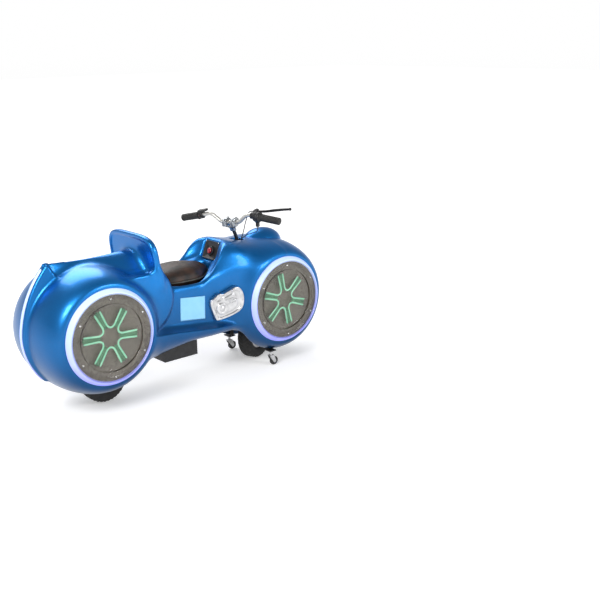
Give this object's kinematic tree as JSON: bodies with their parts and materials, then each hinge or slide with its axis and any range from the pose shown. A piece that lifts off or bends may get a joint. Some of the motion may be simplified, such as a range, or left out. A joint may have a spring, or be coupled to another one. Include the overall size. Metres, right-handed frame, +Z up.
{
  "type": "ride-on amusement motorcycle",
  "caption": "Battery ride-on motorcycle for fairs: moulded body with lighted barrel pods, seat well and backrest, steered front wheel, trailing wheel and swivel casters.",
  "frame": {"origin": "on the floor under the middle of the machine's box; the body's plane of symmetry lies 21 mm to its left, since the turned handlebar reaches further to the right", "axes": "+X towards the front wheel, +Y to the rider's left, +Z up"},
  "size_m": [1.8432, 0.6766, 0.949],
  "materials": {
    "battery_case": "satin",
    "black_painted_steel": "satin black",
    "black_plastic": "grained",
    "black_rubber": "matt",
    "black_tyre": "matt tread",
    "blue_gelcoat": "metallic-blue gelcoat, glossy",
    "bright_steel": "zinc plated",
    "brown_black_leatherette": "mottled leatherette",
    "mint_acrylic": "edge-lit sheet",
    "polished_alloy": "polished casting",
    "red_plastic": "glossy",
    "seat_board": "raw plywood",
    "smoked_acrylic": "smoked clear sheet",
    "taupe_pan": "satin",
    "violet_lamp_plastic": "milky lamp cover that glows"
  },
  "bodies": {
    "chassis": {"body_shell": "blue_gelcoat", "chassis_frame": "black_painted_steel", "head_bearing_lower": "bright_steel", "head_bearing_upper": "bright_steel", "nose_dome": "blue_gelcoat", "tail_light_strip": "violet_lamp_plastic", "seat_base": "seat_board", "seat_cushion": "brown_black_leatherette", "dash_panel": "black_plastic", "engine_cover_right": "polished_alloy", "engine_cover_left": "polished_alloy", "battery_box": "black_painted_steel", "battery_front": "battery_case", "battery_rear": "battery_case", "motor_controller": "polished_alloy", "rear_axle": "bright_steel", "caster_bracket_right": "black_painted_steel", "caster_bracket_left": "black_painted_steel", "led_ring_rear_right": "violet_lamp_plastic", "disc_pan_rear_right": "taupe_pan", "spoke_light_rear_right": "mint_acrylic", "disc_cover_rear_right": "smoked_acrylic", "led_ring_rear_left": "violet_lamp_plastic", "disc_pan_rear_left": "taupe_pan", "spoke_light_rear_left": "mint_acrylic", "disc_cover_rear_left": "smoked_acrylic", "led_ring_front_right": "violet_lamp_plastic", "disc_pan_front_right": "taupe_pan", "spoke_light_front_right": "mint_acrylic", "disc_cover_front_right": "smoked_acrylic", "led_ring_front_left": "violet_lamp_plastic", "disc_pan_front_left": "taupe_pan", "spoke_light_front_left": "mint_acrylic", "disc_cover_front_left": "smoked_acrylic"},
    "steering": {"steering_column": "bright_steel", "front_fork": "black_painted_steel", "front_axle": "bright_steel", "handlebar_stem": "polished_alloy", "handlebar_tube": "polished_alloy", "left_grip": "black_rubber", "throttle_housing": "black_plastic", "brake_perch": "black_plastic", "switch_pod": "black_plastic", "brake_cable": "black_plastic", "throttle_cable": "black_plastic"},
    "front_wheel": {"front_hub_motor": "polished_alloy", "front_tyre": "black_tyre"},
    "rear_wheel": {"rear_hub": "polished_alloy", "rear_tyre": "black_tyre"},
    "throttle": {"throttle_grip": "black_rubber"},
    "lever": {"brake_lever": "black_plastic"},
    "start": {"start_button": "red_plastic"},
    "horn": {"horn_button": "red_plastic"},
    "caster_right": {"caster_fork_right": "bright_steel"},
    "caster_left": {"caster_fork_left": "bright_steel"},
    "caster_roll_right": {"caster_wheel_right": "black_rubber"},
    "caster_roll_left": {"caster_wheel_left": "black_rubber"}
  },
  "joints": [
    {"name": "steering_turn", "type": "hinge", "parent": "chassis", "child": "steering", "pos_m": [0.54863, 0.02126, 0.12745], "axis": [-0.1736, 0, 0.9848], "range_deg": [-52.5, 17.5]},
    {"name": "front_wheel_spin", "type": "hinge", "parent": "steering", "child": "front_wheel", "pos_m": [0.54863, 0.02126, 0.12745], "axis": [-0.2961, 0.9537, -0.0522], "continuous": true},
    {"name": "rear_wheel_spin", "type": "hinge", "parent": "chassis", "child": "rear_wheel", "pos_m": [-0.48837, 0.02126, 0.12745], "axis": [0, 1, 0], "continuous": true},
    {"name": "throttle_twist", "type": "hinge", "parent": "steering", "child": "throttle", "pos_m": [0.46854, -0.24555, 0.88495], "axis": [0.3201, -0.9414, -0.1059], "range_deg": [0, 70], "stiffness_Nm_per_rad": 0.25},
    {"name": "brake_pull", "type": "hinge", "parent": "steering", "child": "lever", "pos_m": [0.47356, -0.13199, 0.916], "axis": [-0.1241, -0.1525, 0.9805], "range_deg": [-14, 0], "stiffness_Nm_per_rad": 1.5, "springref_deg": 2.86},
    {"name": "start_press", "type": "slide", "parent": "chassis", "child": "start", "axis": [0.9397, 0, -0.342], "range_m": [0, 0.005], "stiffness_N_per_m": 500, "springref_m": -0.001},
    {"name": "horn_press", "type": "slide", "parent": "steering", "child": "horn", "axis": [0.9392, 0.3007, 0.1656], "range_m": [0, 0.002], "stiffness_N_per_m": 500, "springref_m": -0.001},
    {"name": "caster_swivel_right", "type": "hinge", "parent": "chassis", "child": "caster_right", "pos_m": [0.51163, -0.17874, 0.07545], "axis": [0, 0, 1], "continuous": true},
    {"name": "caster_spin_right", "type": "hinge", "parent": "caster_right", "child": "caster_roll_right", "pos_m": [0.53163, -0.17874, 0.02645], "axis": [0, 1, 0], "continuous": true},
    {"name": "caster_swivel_left", "type": "hinge", "parent": "chassis", "child": "caster_left", "pos_m": [0.51163, 0.22126, 0.07545], "axis": [0, 0, 1], "continuous": true},
    {"name": "caster_spin_left", "type": "hinge", "parent": "caster_left", "child": "caster_roll_left", "pos_m": [0.53163, 0.22126, 0.02645], "axis": [0, 1, 0], "continuous": true}
  ]
}
